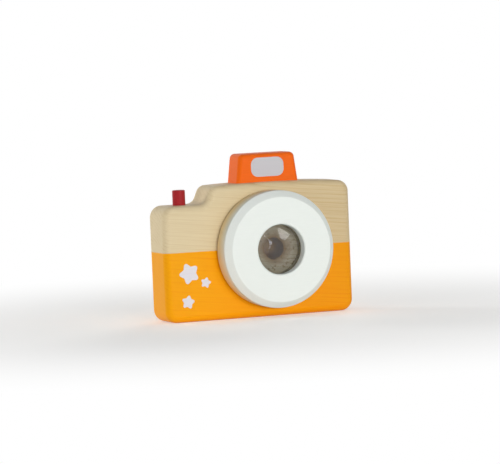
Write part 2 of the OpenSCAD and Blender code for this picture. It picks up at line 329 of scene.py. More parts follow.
def raise_film(sizes):
    """In edit mode, raise a flat print off the front by its thickness, and leave edit mode."""
    bpy.ops.mesh.select_all(action="SELECT")
    bpy.ops.mesh.extrude_region_move(TRANSFORM_OT_translate={"value": (0, -sizes.film, 0)})
    close_edit()


def forward(y):
    """Height along the lens axis of a place in the frame."""
    return LENS_AXIS.y - y


def half_width(low, high):
    """Radius of a round piece from its box."""
    return (high.x - low.x) / 2


def give(piece, material, body, replaces=()):
    """Finish a piece: its material, the body that it moves with and the CAD pieces that it stands for."""
    piece.data.materials.clear()
    piece.data.materials.append(material)
    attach(piece, body)
    if replaces:
        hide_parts(*replaces)


def add_node(tree, kind, inputs=None, output=0, **settings):
    """Add a shader node with its settings, set or link its inputs, and give back one of its outputs."""
    made = tree.nodes.new("ShaderNode" + kind)
    for name, value in settings.items():
        setattr(made, name, value)
    for key, value in (inputs or {}).items():
        if isinstance(value, bpy.types.NodeSocket):
            tree.links.new(value, made.inputs[key])
        else:
            made.inputs[key].default_value = value
    return made.outputs[output] if len(made.outputs) else None


def new_material(name):
    """A material with an empty tree, and the place on the piece that its patterns follow."""
    material = bpy.data.materials.new(name)
    material.use_nodes = True
    tree = material.node_tree
    tree.nodes.clear()
    return material, tree, add_node(tree, "TexCoord", output="Object")


def streaks_along(tree, place, long, wide, detail, roughness):
    """A cloudy pattern drawn out along X, with streaks of the given length and width."""
    at = add_node(tree, "Mapping", {"Vector": place, "Scale": (1 / long, 1 / wide, 1 / wide)})
    return add_node(tree, "TexNoise", {
        "Vector": at, "Scale": 1, "Detail": detail, "Roughness": roughness,
    }, "Fac")


def wood_grain(tree, place):
    """How dark the grain is, the fine fibres and the cloudy patches, on a board that runs along X."""
    line_gap = 2.3 * MM
    fibre_width = 0.7 * MM
    fibre_length = 30 * MM
    patch_width = 5.263 * MM
    patch_length = 71.43 * MM
    heart_behind = 85 * MM
    heart_below = 120 * MM
    along_shift = 300 * MM
    ring_stretch = 20
    grain_fall = math.radians(6)
    line_depth = 0.45
    fibre_depth = 0.3
    # length of one ring of the wave at a scale of 1
    wave_period = 0.314
    # the grain falls a little to the right
    along = add_node(tree, "Mapping", {"Vector": place, "Rotation": (0, -grain_fall, 0)})
    # the tree's heart lies below and behind the block, so the rings cross the front as near level lines
    rings_at = add_node(tree, "Mapping", {
        "Vector": along, "Location": (along_shift, -heart_behind, heart_below),
        "Scale": (1 / ring_stretch, 1, 1),
    })
    rings = add_node(tree, "TexWave", {
        "Vector": rings_at, "Scale": wave_period / line_gap, "Distortion": 5.5, "Detail": 3,
        "Detail Scale": 0.35, "Detail Roughness": 0.6,
    }, "Fac", wave_type="RINGS", rings_direction="X", wave_profile="SAW")
    late_wood = add_node(tree, "MapRange", {
        "Value": rings, "From Min": 0.6, "From Max": 1.0,
    }, interpolation_type="SMOOTHSTEP")
    fibres = streaks_along(tree, along, fibre_length, fibre_width, detail=4, roughness=0.6)
    streaks = add_node(tree, "MapRange", {"Value": fibres, "From Min": 0.42, "From Max": 0.72})
    patches = streaks_along(tree, along, patch_length, patch_width, detail=2, roughness=0.5)
    cloud = add_node(tree, "MapRange", {"Value": patches, "From Min": 0.35, "From Max": 0.7})
    lines = add_node(tree, "Math", {0: late_wood, 1: cloud}, operation="MULTIPLY")
    lines = add_node(tree, "Math", {0: lines, 1: line_depth}, operation="MULTIPLY")
    grain = add_node(tree, "Math", {
        0: streaks, 1: fibre_depth, 2: lines,
    }, operation="MULTIPLY_ADD", use_clamp=True)
    # painted shade: the grain and the stain darken a little from the board's left end to its right, where
    # less light falls
    shade_to_right = add_node(tree, "MapRange", {
        "Value": add_node(tree, "SeparateXYZ", {"Vector": place}, "X"),
        "From Min": -50 * MM, "From Max": 60 * MM, "To Min": 0.0, "To Max": 0.4,
    }, interpolation_type="SMOOTHSTEP")
    grain = add_node(tree, "Math", {0: grain, 1: shade_to_right}, operation="ADD", use_clamp=True)
    return grain, fibres, cloud


def open_pores(tree, place, cloud):
    """The open pores of end grain, darker in the cloudy patches."""
    # real pores are 0.2 mm wide and would not show, so these are about 1 mm wide and further apart
    pore_gap = 2.6 * MM
    off_pore = add_node(tree, "TexVoronoi", {"Vector": place, "Scale": 1 / pore_gap}, "Distance")
    pores = add_node(tree, "MapRange", {
        "Value": off_pore, "From Min": 0.1, "From Max": 0.32, "To Min": 1.3, "To Max": 0.0,
    })
    return add_node(tree, "Math", {0: pores, 1: cloud}, operation="MULTIPLY")


def under_stain_line(tree, place, fibres, stain_top):
    """1 under the line where the stain ends and 0 over it."""
    # the line was masked by hand: it drops half a millimetre to the right end and frays along the fibres
    fall = 0.004
    raggedness = 0.5 * MM
    blur = 0.35 * MM
    across, up = (add_node(tree, "SeparateXYZ", {"Vector": place}, axis) for axis in "XZ")
    height = add_node(tree, "Math", {0: across, 1: fall, 2: up}, operation="MULTIPLY_ADD")
    ragged = add_node(tree, "Math", {0: fibres, 1: raggedness, 2: height}, operation="MULTIPLY_ADD")
    return add_node(tree, "MapRange", {
        "Value": ragged, "From Min": stain_top, "From Max": stain_top + blur, "To Min": 1.0, "To Max": 0.0,
    })


def near_bore(tree, place, cloud, bore):
    """Mask of the bore's painted shade: 1 in and round the bore on the lens axis and 0 further out, with a
    ragged edge.
    """
    raggedness = 1.5 * MM
    full_until = bore + 1 * MM
    gone_at = bore + 5.5 * MM
    off_axis = add_node(tree, "VectorMath", {0: place, 1: LENS_AXIS}, operation="SUBTRACT")
    across = add_node(tree, "VectorMath", {0: off_axis, 1: (1, 0, 1)}, operation="MULTIPLY")
    radius = add_node(tree, "VectorMath", {0: across}, "Value", operation="LENGTH")
    ragged = add_node(tree, "Math", {0: cloud, 1: raggedness, 2: radius}, operation="MULTIPLY_ADD")
    return add_node(tree, "MapRange", {
        "Value": ragged, "From Min": full_until, "From Max": gone_at, "To Min": 1.0, "To Max": 0.0,
    })


def rubberwood(name, wood, stain=None, stain_top=None, bore_shade=None, bore=None):
    """Rubberwood, sanded and sealed with satin lacquer: pale, with long fine tan lines along X.

    Wood, stain and bore shade are each two colours, for early wood and for the late wood in the grain lines.
    Stain is wiped on up to a height and lets the lines show through. Bore shade is for end grain that is
    left raw, dull and with open pores, and is painted shade: darker wood in and round a bore of the given
    radius.
    """
    material, tree, place = new_material(name)
    grain, fibres, cloud = wood_grain(tree, place)
    smoothest, roughest, sheen = 0.38, 0.52, 0.18
    layers = [(wood, 1.0)]
    if stain:
        layers.append((stain, under_stain_line(tree, place, fibres, stain_top)))
    # end grain left raw is dull and has open pores, and round the bore it gets painted shade
    if bore_shade:
        smoothest, roughest, sheen = 0.8, 0.95, 0.03
        pores = open_pores(tree, place, cloud)
        grain = add_node(tree, "Math", {0: grain, 1: pores}, operation="ADD", use_clamp=True)
        layers.append((bore_shade, near_bore(tree, place, cloud, bore)))
    base = wood[0]
    for (early, late), share in layers:
        layer = add_node(tree, "Mix", {"Factor": grain, "A": early, "B": late}, "Result", data_type="RGBA")
        base = add_node(tree, "Mix", {"Factor": share, "A": base, "B": layer}, "Result", data_type="RGBA")
    shader = add_node(tree, "BsdfPrincipled", {
        "Base Color": base, "IOR": 1.5, "Specular IOR Level": sheen,
        "Roughness": add_node(tree, "MapRange", {"Value": fibres, "To Min": smoothest, "To Max": roughest}),
        "Normal": add_node(tree, "Bump", {"Height": fibres, "Strength": 0.12, "Distance": 0.1 * MM}),
    })
    add_node(tree, "OutputMaterial", {"Surface": shader})
    return material


def toy_paint(name, hue, roughness=0.42, fleck=0.03, thin_and_bounce=None):
    """Water-based toy paint sprayed on sanded wood: even and satin, with the grain just felt under it.

    Thin_and_bounce gives the colour where the spray from the front runs out, which also paints warm bounce
    light, and the places on Y where that starts and ends.
    """
    orange_peel = 0.9 * MM
    grain_width = 0.8 * MM
    grain_length = 9 * MM
    material, tree, place = new_material(name)
    grain = streaks_along(tree, place, grain_length, grain_width, detail=3, roughness=0.55)
    peel = add_node(tree, "TexNoise", {"Vector": place, "Scale": 1 / orange_peel, "Detail": 1}, "Fac")
    if thin_and_bounce:
        thin_and_bounce_hue, start, end = thin_and_bounce
        share = add_node(tree, "MapRange", {
            "Value": add_node(tree, "SeparateXYZ", {"Vector": place}, "Y"),
            "From Min": start, "From Max": end,
        })
        hue = add_node(tree, "Mix", {"Factor": share, "A": hue, "B": thin_and_bounce_hue}, "Result", data_type="RGBA")
    tone = add_node(tree, "MapRange", {
        "Value": grain, "From Min": 0.3, "From Max": 0.75, "To Min": 1.0, "To Max": 1.0 - 2 * fleck,
    })
    height = add_node(tree, "Math", {0: grain, 1: peel}, operation="ADD")
    shader = add_node(tree, "BsdfPrincipled", {
        "Base Color": add_node(tree, "HueSaturation", {"Color": hue, "Value": tone}),
        "IOR": 1.5, "Specular IOR Level": 0.2,
        "Roughness": add_node(tree, "MapRange", {
            "Value": peel, "To Min": roughness - 0.05, "To Max": roughness + 0.08,
        }),
        "Normal": add_node(tree, "Bump", {"Height": height, "Strength": 0.08, "Distance": 0.1 * MM}),
    })
    add_node(tree, "OutputMaterial", {"Surface": shader})
    return material


def cast_acrylic(name):
    """Cast acrylic with ground and polished facets: clear, with sharp reflections; its slight grey is
    painted shade.
    """
    haze_width = 6 * MM
    material, tree, place = new_material(name)
    haze = add_node(tree, "TexNoise", {"Vector": place, "Scale": 1 / haze_width, "Detail": 2}, "Fac")
    shader = add_node(tree, "BsdfPrincipled", {
        # the slight grey is painted shade that dims the wood seen through the lens
        "Base Color": linear("#F1F1F3"), "IOR": 1.49, "Transmission Weight": 1.0,
        "Roughness": add_node(tree, "MapRange", {"Value": haze, "To Min": 0.0, "To Max": 0.04}),
    })
    add_node(tree, "OutputMaterial", {"Surface": shader})
    return material


def zinc_steel(name):
    """Steel wire and screws with a bright zinc plating: a cool metal with a finely mottled sheen."""
    spangle = 0.5 * MM
    material, tree, place = new_material(name)
    mottle = add_node(tree, "TexNoise", {"Vector": place, "Scale": 1 / spangle, "Detail": 2}, "Fac")
    shader = add_node(tree, "BsdfPrincipled", {
        "Base Color": linear("#C3C6CA"), "Metallic": 1.0,
        "Roughness": add_node(tree, "MapRange", {"Value": mottle, "To Min": 0.22, "To Max": 0.38}),
    })
    add_node(tree, "OutputMaterial", {"Surface": shader})
    return material


def wool_felt(name):
    """Pressed wool felt: dark, dull and fuzzy, with matted fibres."""
    tuft = 0.4 * MM
    material, tree, place = new_material(name)
    fuzz = add_node(tree, "TexNoise", {
        "Vector": place, "Scale": 1 / tuft, "Detail": 5, "Roughness": 0.7,
    }, "Fac")
    base = add_node(tree, "Mix", {
        "Factor": fuzz, "A": linear("#37322E"), "B": linear("#5A534C"),
    }, "Result", data_type="RGBA")
    shader = add_node(tree, "BsdfPrincipled", {
        "Base Color": base, "Roughness": 0.95, "Sheen Weight": 0.3,
        "Normal": add_node(tree, "Bump", {"Height": fuzz, "Strength": 0.5, "Distance": 0.1 * MM}),
    })
    add_node(tree, "OutputMaterial", {"Surface": shader})
    return material


class TOYCAM_OT_body(bpy.types.Operator):
    """Model the stepped wooden body with its rounded edges and its bores"""

    bl_idname = "toycam.body"
    bl_label = "Body"

    def execute(self, context):
        """Extrude the step, lean the riser, crown the deck, round all edges and drill the bores."""
        sizes, colours = chosen(context)
        deck = BODY_HIGH.z
        shelf = sizes.shelf_height
        depth = BODY_HIGH.y - BODY_LOW.y
        width = BODY_HIGH.x - BODY_LOW.x
        riser_x = BODY_LOW.x + sizes.shelf_length
        riser_run = (deck - shelf) * math.tan(sizes.riser_lean)
        body = start_piece(
            "body", bpy.ops.mesh.primitive_cube_add, size=1,
            location=(0, BODY_MIDDLE_Y, shelf / 2), scale=(width, depth, shelf),
        )
        edit(body)
        bpy.ops.mesh.bisect(plane_co=(riser_x, 0, 0), plane_no=(1, 0, 0), threshold=SMALL)
        pick(body, "FACE", lambda f: f.normal.z > 1 - SMALL and f.calc_center_median().x > riser_x)
        bpy.ops.mesh.extrude_region_move(TRANSFORM_OT_translate={"value": (0, 0, deck - shelf)})
        pick(body, "VERT", lambda v: v.co.z > deck - SMALL and v.co.x < riser_x + SMALL)
        bpy.ops.transform.translate(value=(riser_run, 0, 0))
        bpy.ops.mesh.select_all(action="SELECT")
        bpy.ops.mesh.dissolve_limited(angle_limit=math.radians(0.5))
        self.crown_deck(body, sizes, deck)
        self.round_outline(body, sizes, deck, riser_x, riser_run)
        pick(body, "EDGE", lambda e: on_faces(e, BODY_LOW, BODY_HIGH))
        bpy.ops.mesh.bevel(offset=sizes.edge_round, segments=8, profile=0.5, clamp_overlap=False)
        close_edit()
        cut_away(body, self.lens_bore())
        cut_away(body, self.button_bore(sizes))
        soften(body)
        wood = rubberwood(
            "rubberwood, stained below", (colours.wood_pale, colours.wood_tan),
            stain=(colours.stain_light, colours.stain_deep), stain_top=sizes.paint_line,
        )
        give(body, wood, "camera", ["body_block"])
        return {"FINISHED"}

    @staticmethod
    def sag(sizes, x):
        """How far the crowned deck lies under its crest at x."""
        return sizes.deck_crown - math.sqrt(sizes.deck_crown ** 2 - (x - LENS_AXIS.x) ** 2)

    def crown_deck(self, body, sizes, deck):
        """Cut the deck into strips and let each line of points down to the crown."""
        deck_cuts = 7
        pick(body, "EDGE", lambda e: all(v.co.z > deck - SMALL for v in e.verts)
             and abs(e.verts[0].co.y - e.verts[1].co.y) < SMALL)
        bpy.ops.mesh.subdivide(number_cuts=deck_cuts)
        shape = bmesh.from_edit_mesh(body.data)
        columns = sorted({round(v.co.x, 6) for v in shape.verts if v.co.z > deck - SMALL})
        for x in columns:
            pick(body, "VERT", lambda v: v.co.z > deck - SMALL and abs(v.co.x - x) < 2 * SMALL)
            bpy.ops.transform.translate(value=(0, 0, -self.sag(sizes, x)))

    def round_outline(self, body, sizes, deck, riser_x, riser_run):
        """Round each corner of the outline to its own radius."""
        near = 0.1 * MM
        shelf = sizes.shelf_height
        shoulder_x = riser_x + riser_run
        shoulder_z = deck - self.sag(sizes, shoulder_x)
        right_z = deck - self.sag(sizes, BODY_HIGH.x)
        right_turn = QUARTER_TURN - math.asin((BODY_HIGH.x - LENS_AXIS.x) / sizes.deck_crown)
        riser_turn = QUARTER_TURN - sizes.riser_lean
        corners = [
            (BODY_LOW.x, 0, sizes.corner_round, QUARTER_TURN),
            (BODY_HIGH.x, 0, sizes.corner_round, QUARTER_TURN),
            (BODY_LOW.x, shelf, sizes.corner_round, QUARTER_TURN),
            (BODY_HIGH.x, right_z, sizes.deck_corner_round, right_turn),
            (shoulder_x, shoulder_z, sizes.shoulder_round, riser_turn),
            (riser_x, shelf, sizes.foot_round, riser_turn),
        ]
        for x, z, radius, turn in corners:
            pick(body, "EDGE", lambda e: all(math.hypot(v.co.x - x, v.co.z - z) < near for v in e.verts))
            bpy.ops.mesh.bevel(offset=radius * math.tan(turn / 2), segments=10, profile=0.5)

    @staticmethod
    def lens_bore():
        """Cutter for the axle's bore, the recess behind it and the seat of the rear disc."""
        past = 3 * MM
        mouth = 0.3 * MM
        room_round_retainer = 1 * MM
        room_for_washer = 0.9 * MM
        bore = half_width(TUBE_LOW, TUBE_HIGH) + RUNNING_FIT
        recess = half_width(RETAINER_LOW, RETAINER_HIGH) + room_round_retainer
        seat = half_width(EYEPIECE_LOW, EYEPIECE_HIGH) + GLUE_GAP
        recess_floor = forward(RETAINER_LOW.y) + room_for_washer
        seat_floor = forward(EYEPIECE_LOW.y)
        back = forward(BODY_HIGH.y)
        profile = [
            (bore, past), (bore, recess_floor), (recess, recess_floor), (recess, seat_floor),
            (seat, seat_floor), (seat, back + mouth), (seat + mouth + past, back - past),
        ]
        return turned("lens_bore", profile, ON_LENS_AXIS, solid=True)

    @staticmethod
    def button_bore(sizes):
        """Cutter for the button's bore, with a small break at its mouth."""
        past = 3 * MM
        mouth = 0.25 * MM
        radius = half_width(COLLAR_LOW, COLLAR_HIGH) + GLUE_GAP
        floor = SPRING_LOW.z - GLUE_GAP
        shelf = sizes.shelf_height
        profile = [(radius, floor), (radius, shelf - mouth), (radius + mouth + past, shelf + past)]
        return turned("button_bore", profile, ON_BUTTON_AXIS, solid=True, steps=64)


class TOYCAM_OT_flash(bpy.types.Operator):
    """Model the flash block on the deck and the pale window on its front"""

    bl_idname = "toycam.flash"
    bl_label = "Flash block"

    def execute(self, context):
        """Taper a block, round it, let the deck trim its foot and lay the window on it."""
        sizes, colours = chosen(context)
        sink = 2 * MM
        top = FLASH_HIGH.z
        deck = BODY_HIGH.z
        foot = deck - sink
        depth = FLASH_HIGH.y - FLASH_LOW.y
        middle_y = (FLASH_LOW.y + FLASH_HIGH.y) / 2
        lean = math.atan((sizes.flash_foot_width - sizes.flash_top_width) / 2 / (top - deck))
        foot_width = sizes.flash_foot_width + 2 * sink * math.tan(lean)
        flash = start_piece(
            "flash", bpy.ops.mesh.primitive_cube_add, size=1,
            location=(FLASH_X, middle_y, (foot + top) / 2), scale=(foot_width, depth, top - foot),
        )
        edit(flash)
        pick(flash, "VERT", lambda v: v.co.z > top - SMALL)
        taper = sizes.flash_top_width / foot_width
        bpy.ops.transform.resize(value=(taper, 1, 1), center_override=(FLASH_X, middle_y, top))
        pick(flash, "EDGE", lambda e: all(v.co.z > top - SMALL for v in e.verts)
             and abs(e.verts[0].co.x - e.verts[1].co.x) < SMALL)
        turn = QUARTER_TURN - lean
        bpy.ops.mesh.bevel(offset=sizes.flash_corner_round * math.tan(turn / 2), segments=8, profile=0.5)
        pick(flash, "EDGE", lambda e: on_faces(e, FLASH_LOW, FLASH_HIGH)
             and any(v.co.z > foot + SMALL for v in e.verts))
        bpy.ops.mesh.bevel(offset=sizes.flash_edge_round, segments=6, profile=0.5, clamp_overlap=False)
        close_edit()
        cut_away(flash, bpy.data.objects["body"], keep_cutter=True)
        soften(flash)
        paint = toy_paint("orange toy paint on wood", colours.flash_orange)
        give(flash, paint, "camera", ["flash_block"])
        self.lay_window(sizes, colours)
        return {"FINISHED"}

    @staticmethod
    def lay_window(sizes, colours):
        """A thin rounded film of print on the front of the block."""
        middle = (FLASH_X - sizes.flash_window_left, FLASH_LOW.y, sizes.flash_window_z)
        window = start_piece(
            "flash_window", bpy.ops.mesh.primitive_plane_add, size=1,
            location=middle, rotation=(QUARTER_TURN, 0, 0),
        )
        edit(window)
        bpy.ops.transform.resize(
            value=(sizes.flash_window_width, 1, sizes.flash_window_height), center_override=middle,
        )
        bpy.ops.mesh.bevel(affect="VERTICES", offset=sizes.flash_window_round, segments=12, profile=0.5)
        raise_film(sizes)
        soften(window, width=FILM_ROUND * sizes.film, segments=2)
        print_grey = toy_paint("grey screen print", colours.window_grey, **SCREEN_PRINT)
        give(window, print_grey, "camera")


class TOYCAM_OT_stars(bpy.types.Operator):
    """Lay the three rounded stars on the stained front"""

    bl_idname = "toycam.stars"
    bl_label = "Stars"

    # place across and up in millimetres, radius in millimetres and turn in degrees
    STARS = {
        "star_large": (-47.5, 30.5, 6.3, -21.7),
        "star_small": (-36.8, 24.2, 3.2, 15.4),
        "star_medium": (-49.0, 12.8, 4.05, 11.3),
    }

    def execute(self, context):
        """Model one star, copy it and set each copy in its place."""
        sizes, colours = chosen(context)
        print_white = toy_paint("white screen print", colours.star_white, **SCREEN_PRINT)
        pattern = self.model_star(sizes)
        for name, (x, z, radius, turn) in self.STARS.items():
            star = pattern.copy()
            star.data = pattern.data.copy()
            star.name = name
            star.data.name = name
            context.scene.collection.objects.link(star)
            place = Matrix.Translation((x * MM, BODY_LOW.y, z * MM))
            turned_by = Matrix.Rotation(math.radians(turn), 4, "Y")
            settle(star, place @ turned_by @ Matrix.Diagonal((radius * MM, 1, radius * MM, 1)))
            soften(star, width=FILM_ROUND * sizes.film, segments=2)
            give(star, print_white, "camera")
        bpy.data.objects.remove(pattern)
        return {"FINISHED"}

    @staticmethod
    def model_star(sizes):
        """A five-armed star of radius 1 with round arms and hollows, one film thick."""
        arms = 5
        reach = 1.28
        waist = 0.7
        arm_round = 0.46
        hollow_round = 0.08
        star = start_piece(
            "star_pattern", bpy.ops.mesh.primitive_circle_add, vertices=2 * arms, radius=reach,
            fill_type="NGON", rotation=(QUARTER_TURN, 0, 0),
        )
        edit(star)
        pick(star, "VERT", lambda v: round(math.degrees(math.atan2(v.co.x, v.co.z)) / (180 / arms)) % 2 == 1)
        bpy.ops.transform.resize(value=(waist / reach, 1, waist / reach), center_override=(0, 0, 0))
        pick(star, "VERT", lambda v: v.co.length > (reach + waist) / 2)
        bpy.ops.mesh.bevel(affect="VERTICES", offset=arm_round, segments=8, profile=0.5)
        pick(star, "VERT", lambda v: v.co.length < waist + SMALL)
        bpy.ops.mesh.bevel(affect="VERTICES", offset=hollow_round, segments=4, profile=0.5)
        raise_film(sizes)
        return star


class TOYCAM_OT_ring(bpy.types.Operator):
    """Turn the white ring with its bevelled face"""

    bl_idname = "toycam.ring"
    bl_label = "Lens ring"

    def execute(self, context):
        """Turn the ring's profile and break its edges."""
        sizes, colours = chosen(context)
        radius = half_width(RING_LOW, RING_HIGH)
        hole = sizes.ring_hole / 2
        pocket = half_width(LENS_LOW, LENS_HIGH) + GLUE_GAP
        front = forward(RING_LOW.y)
        back = forward(RING_HIGH.y)
        seat = front - sizes.lens_depth
        round_over = sizes.ring_back_round
        mouth = sizes.hole_round
        edge_steps = 6
        turns = [QUARTER_TURN * i / edge_steps for i in range(edge_steps + 1)]
        hole_edge = [(hole + mouth * (1 - math.cos(a)), front - mouth * (1 - math.sin(a))) for a in turns]
        back_edge = [
            (radius - round_over * (1 - math.cos(a)), back + round_over * (1 - math.sin(a))) for a in turns
        ]
        profile = [
            (hole, seat), *hole_edge, (radius - sizes.bevel_width, front),
            (radius, front - sizes.bevel_depth), *back_edge, (pocket, back), (pocket, seat),
        ]
        ring = turned("ring", profile, ON_LENS_AXIS, steps=192)
        soften(ring, width=0.45 * MM, segments=3, angle=25)
        # the spray from the front covers the bevel and runs out a little before the back; the cream there is
        # also painted warm bounce light from the stained body
        cream_from = RING_LOW.y + sizes.bevel_depth
        cream_until = RING_HIGH.y - 4 * MM
        paint = toy_paint("white toy paint on turned wood", colours.ring_white, roughness=0.5, fleck=0.012,
                          thin_and_bounce=(colours.ring_cream_and_bounce, cream_from, cream_until))
        give(ring, paint, "lens", ["lens_ring"])
        return {"FINISHED"}


class TOYCAM_OT_lens(bpy.types.Operator):
    """Cut the clear faceted lens"""

    bl_idname = "toycam.lens"
    bl_label = "Faceted lens"

    def execute(self, context):
        """Grind the facets on a dome, then join the dome to its rim."""
        sizes, _ = chosen(context)
        rim_radius = half_width(LENS_LOW, LENS_HIGH)
        dome_radius = sizes.ring_hole / 2 - RUNNING_FIT
        back = forward(LENS_HIGH.y)
        top = forward(LENS_LOW.y)
        seat = forward(RING_LOW.y) - sizes.lens_depth
        root = 0.5 * MM
        facet_break = 0.5 * MM
        facing_front = 0.5
        upright = Matrix.Identity(4)
        dome = turned("dome", [(dome_radius, seat - root), (dome_radius, top)], upright, solid=True)
        edit(dome)
        for i in range(sizes.facet_count):
            turn = 2 * math.pi * (i + 0.5) / sizes.facet_count
            out = Vector((math.cos(turn), math.sin(turn), 0))
            bpy.ops.mesh.select_all(action="SELECT")
            bpy.ops.mesh.bisect(
                plane_co=out * sizes.lens_middle / 2 + Vector((0, 0, top)),
                plane_no=out * math.sin(sizes.facet_tilt) + Vector((0, 0, math.cos(sizes.facet_tilt))),
                use_fill=True, clear_outer=True, threshold=SMALL,
            )
        pick(dome, "EDGE", lambda e: all(v.co.xy.length < dome_radius - SMALL for v in e.verts)
             or (e.is_manifold and min(f.normal.z for f in e.link_faces) > facing_front))
        bpy.ops.mesh.bevel(offset=facet_break, segments=2, profile=0.5)
        close_edit()
        lens = turned("faceted_lens", [(rim_radius, back), (rim_radius, seat)], upright, solid=True)
        apply_modifier(lens, "BOOLEAN", operation="UNION", object=dome, solver="EXACT")
        bpy.data.objects.remove(dome)
        # bisect may start a facet at any corner, so all are split by shape, to shade alike in each run
        edit(lens)
        bpy.ops.mesh.quads_convert_to_tris(quad_method="BEAUTY", ngon_method="BEAUTY")
        close_edit()
        settle(lens, ON_LENS_AXIS)
        # smooth round the rim, with a crisp line left along each break between facets
        bpy.ops.object.shade_smooth_by_angle(angle=math.radians(4.2))
        give(lens, cast_acrylic("cast acrylic"), "lens", ["prism_lens"])
        return {"FINISHED"}


class TOYCAM_OT_turning_seat(bpy.types.Operator):
    """Turn the bored axle, the rear disc with its sight hole, and finish the fixings behind it"""

    bl_idname = "toycam.turning_seat"
    bl_label = "Axle and rear disc"

    def execute(self, context):
        """Turn both pieces from plain wood and finish the CAD pieces between them."""
        sizes, colours = chosen(context)
        wood = rubberwood("rubberwood, plain", (colours.wood_pale, colours.wood_tan))
        outer = half_width(TUBE_LOW, TUBE_HIGH)
        well = outer - sizes.well_wall
        bore = sizes.sight_bore / 2
        front = forward(TUBE_LOW.y)
        back = forward(TUBE_HIGH.y)
        well_floor = front - sizes.well_depth
        tube = turned("axle", [
            (bore, back), (bore, well_floor), (well, well_floor), (well, front),
            (outer, front), (outer, back),
        ], ON_LENS_AXIS)
        soften(tube, width=0.3 * MM, segments=3)
        # raw, dull wood set darker and greyer than the body's, and darker still round the bore: painted
        # shade behind the lens
        raw_wood = rubberwood(
            "rubberwood, raw", (colours.raw_shaded_pale, colours.raw_shaded_tan),
            bore_shade=(colours.bore_shade_pale, colours.bore_shade_dark), bore=bore,
        )
        give(tube, raw_wood, "lens", ["lens_tube"])

        edge = half_width(EYEPIECE_LOW, EYEPIECE_HIGH)
        sight = sizes.sight_hole / 2
        inside = forward(EYEPIECE_LOW.y)
        outside = forward(EYEPIECE_HIGH.y)
        profile = [
            (sight, inside), (edge, inside), (edge, outside),
            (sight + sizes.dish_width, outside), (sight, outside + sizes.dish_depth),
        ]
        disc = turned("rear_disc", profile, ON_LENS_AXIS)
        soften(disc, width=0.3 * MM, segments=3, angle=15)
        give(disc, wood, "camera", ["eyepiece_disc"])

        steel = zinc_steel("zinc-plated steel")
        felt = wool_felt("wool felt")
        finishes = {
            "retaining_ring": wood, "retainer_screws": steel, "front_washer": felt, "rear_washer": felt,
        }
        for name, material in finishes.items():
            node = frame["nodes"][name]
            node.data.materials.clear()
            node.data.materials.append(material)
        return {"FINISHED"}


class TOYCAM_OT_button(bpy.types.Operator):
    """Turn the red button with its flange and the bush that guides it, and wind its spring"""

    bl_idname = "toycam.button"
    bl_label = "Shutter button"

    def execute(self, context):
        """Turn the button and its bush, and set the spring under them."""
        sizes, colours = chosen(context)
        stem = sizes.button_width / 2
        flange = half_width(BUTTON_LOW, BUTTON_HIGH)
        flange_top = BUTTON_LOW.z + sizes.flange_thickness
        button = turned("button", [
            (flange, BUTTON_LOW.z), (flange, flange_top), (stem, flange_top), (stem, BUTTON_HIGH.z),
        ], ON_BUTTON_AXIS, solid=True, steps=64)
        soften(button, width=0.7 * MM, segments=5)
        # the red is darkened as painted shade
        paint = toy_paint("red toy paint on turned wood", colours.button_red_shaded)
        give(button, paint, "button", ["shutter_button"])

        outer = half_width(COLLAR_LOW, COLLAR_HIGH)
        hole = stem + RUNNING_FIT
        bush = turned("bush", [
            (hole, COLLAR_LOW.z), (hole, COLLAR_HIGH.z), (outer, COLLAR_HIGH.z), (outer, COLLAR_LOW.z),
        ], ON_BUTTON_AXIS, steps=64)
        soften(bush, width=0.2 * MM, segments=2)
        give(bush, bpy.data.materials["rubberwood, plain"], "camera", ["button_collar"])
        self.wind_spring(sizes)
        return {"FINISHED"}

    @staticmethod
    def wind_spring(sizes):
        """Wind the coil under the button and give it a mesh of its own; in the toy it shortens as the button
        goes down.
        """
        turns = 6
        wire = sizes.wire_width / 2
        span = SPRING_HIGH.z - SPRING_LOW.z
        coil = half_width(SPRING_LOW, SPRING_HIGH) - wire
        spring = start_piece(
            "coil_spring", bpy.ops.mesh.primitive_circle_add, vertices=10, radius=wire,
            location=(coil, 0, SPRING_LOW.z + wire), rotation=(QUARTER_TURN, 0, 0),
        )
        apply_modifier(spring, "SCREW", axis="Z", angle=2 * math.pi, screw_offset=(span - 2 * wire) / turns,
                       iterations=turns, steps=24, render_steps=24)
        edit(spring)
        pick(spring, "EDGE", lambda edge: edge.is_boundary)
        bpy.ops.mesh.fill_holes(sides=0)
        close_edit()
        settle(spring, ON_BUTTON_AXIS)
        soften(spring, angle=50)
        give(spring, bpy.data.materials["zinc-plated steel"], "camera", ["button_spring"])
        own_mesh(spring)


